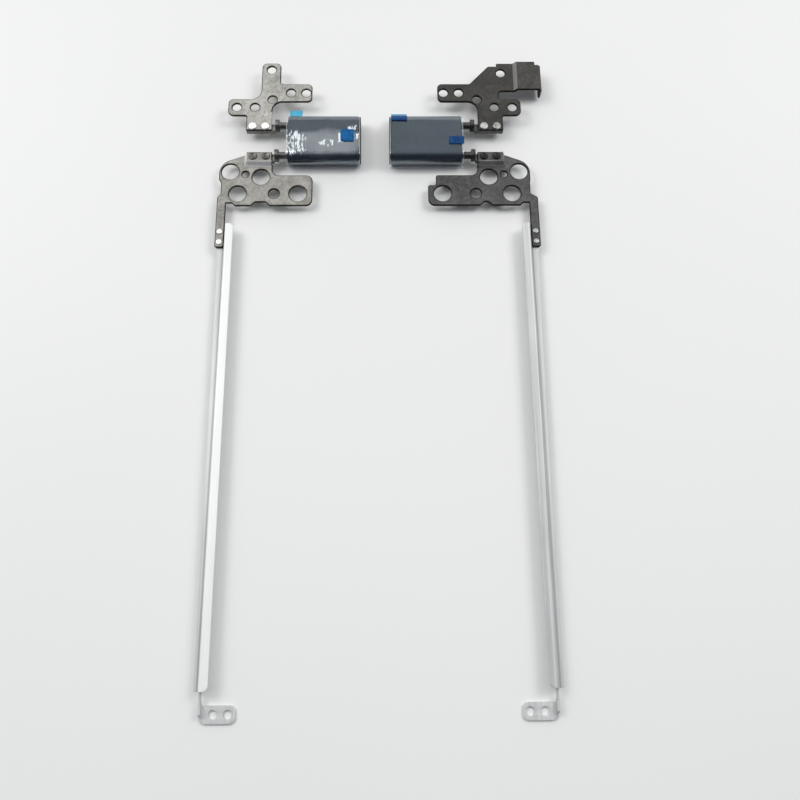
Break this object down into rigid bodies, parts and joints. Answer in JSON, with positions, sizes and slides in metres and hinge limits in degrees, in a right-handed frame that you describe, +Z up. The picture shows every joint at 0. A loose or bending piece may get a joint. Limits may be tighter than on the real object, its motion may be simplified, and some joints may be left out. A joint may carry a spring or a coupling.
{
  "type": "laptop hinge pair",
  "caption": "Left and right dual-shaft laptop hinges with oval covers, stamped base and display brackets and long display rails, lying open flat.",
  "frame": {"origin": "centre of the pair's footprint, on the surface it lies on", "axes": "+X along the shafts towards the right hinge, +Y from the display rails to the base brackets, +Z up"},
  "size_m": [0.1274, 0.2486, 0.0079],
  "materials": {
    "bracket_steel": "nickel-plated, satin",
    "shaft_steel": "turned steel",
    "rivet_steel": "bright steel",
    "rail_steel": "bright zinc plating",
    "inner_steel": "oiled steel",
    "spring_steel": "dark spring steel",
    "cover_paint": "dark slate satin paint",
    "cap_plastic": "black, matt",
    "film": "clear film",
    "tape": "blue tape"
  },
  "bodies": {
    "display_side": {"left_display_bracket": "bracket_steel", "left_display_rivets": "rivet_steel", "left_display_shaft": "shaft_steel", "left_rail": "rail_steel", "left_rail_rivets": "rivet_steel", "left_display_gear": "inner_steel", "left_display_washers": "inner_steel", "left_display_springs": "spring_steel", "left_display_nut": "inner_steel", "right_display_bracket": "bracket_steel", "right_display_rivets": "rivet_steel", "right_display_shaft": "shaft_steel", "right_rail": "rail_steel", "right_rail_rivets": "rivet_steel", "right_display_gear": "inner_steel", "right_display_washers": "inner_steel", "right_display_springs": "spring_steel", "right_display_nut": "inner_steel"},
    "left_cover": {"left_hinge_cover": "cover_paint", "left_outer_link_plate": "inner_steel", "left_inner_link_plate": "inner_steel", "left_idler_pins": "inner_steel", "left_end_cap": "cap_plastic", "left_protective_film": "film", "left_pull_tabs": "tape"},
    "left_base_side": {"left_base_bracket": "bracket_steel", "left_base_rivets": "rivet_steel", "left_base_shaft": "shaft_steel", "left_base_gear": "inner_steel", "left_base_washers": "inner_steel", "left_base_springs": "spring_steel", "left_base_nut": "inner_steel"},
    "left_display_idler_body": {"left_display_idler": "inner_steel"},
    "left_base_idler_body": {"left_base_idler": "inner_steel"},
    "right_cover": {"right_hinge_cover": "cover_paint", "right_outer_link_plate": "inner_steel", "right_inner_link_plate": "inner_steel", "right_idler_pins": "inner_steel", "right_end_cap": "cap_plastic", "right_protective_film": "film", "right_pull_tabs": "tape"},
    "right_base_side": {"right_base_bracket": "bracket_steel", "right_base_rivets": "rivet_steel", "right_base_shaft": "shaft_steel", "right_base_gear": "inner_steel", "right_base_washers": "inner_steel", "right_base_springs": "spring_steel", "right_base_nut": "inner_steel"},
    "right_display_idler_body": {"right_display_idler": "inner_steel"},
    "right_base_idler_body": {"right_base_idler": "inner_steel"}
  },
  "joints": [
    {"name": "left_cover_fold", "type": "hinge", "parent": "display_side", "child": "left_cover", "pos_m": [-0.03705, 0.08275, 0.0039], "axis": [1, 0, 0], "range_deg": [-90, 90]},
    {"name": "left_base_fold", "type": "hinge", "parent": "left_cover", "child": "left_base_side", "pos_m": [-0.03705, 0.09625, 0.0039], "axis": [1, 0, 0], "range_deg": [-90, 90]},
    {"name": "left_display_idler_turn", "type": "hinge", "parent": "left_cover", "child": "left_display_idler_body", "pos_m": [-0.03705, 0.08725, 0.0039], "axis": [1, 0, 0], "range_deg": [-90, 90]},
    {"name": "left_base_idler_turn", "type": "hinge", "parent": "left_cover", "child": "left_base_idler_body", "pos_m": [-0.03705, 0.09175, 0.0039], "axis": [1, 0, 0], "range_deg": [-90, 90]},
    {"name": "right_cover_fold", "type": "hinge", "parent": "display_side", "child": "right_cover", "pos_m": [0.03095, 0.08275, 0.0039], "axis": [1, 0, 0], "range_deg": [-90, 90]},
    {"name": "right_base_fold", "type": "hinge", "parent": "right_cover", "child": "right_base_side", "pos_m": [0.03095, 0.09625, 0.0039], "axis": [1, 0, 0], "range_deg": [-90, 90]},
    {"name": "right_display_idler_turn", "type": "hinge", "parent": "right_cover", "child": "right_display_idler_body", "pos_m": [0.03095, 0.08725, 0.0039], "axis": [1, 0, 0], "range_deg": [-90, 90]},
    {"name": "right_base_idler_turn", "type": "hinge", "parent": "right_cover", "child": "right_base_idler_body", "pos_m": [0.03095, 0.09175, 0.0039], "axis": [1, 0, 0], "range_deg": [-90, 90]}
  ],
  "couplings": [
    {"joint": "left_base_fold", "follows": "left_cover_fold", "ratio": 1},
    {"joint": "left_display_idler_turn", "follows": "left_cover_fold", "ratio": 1},
    {"joint": "left_base_idler_turn", "follows": "left_cover_fold", "ratio": -1},
    {"joint": "right_base_fold", "follows": "right_cover_fold", "ratio": 1},
    {"joint": "right_display_idler_turn", "follows": "right_cover_fold", "ratio": 1},
    {"joint": "right_base_idler_turn", "follows": "right_cover_fold", "ratio": -1}
  ]
}
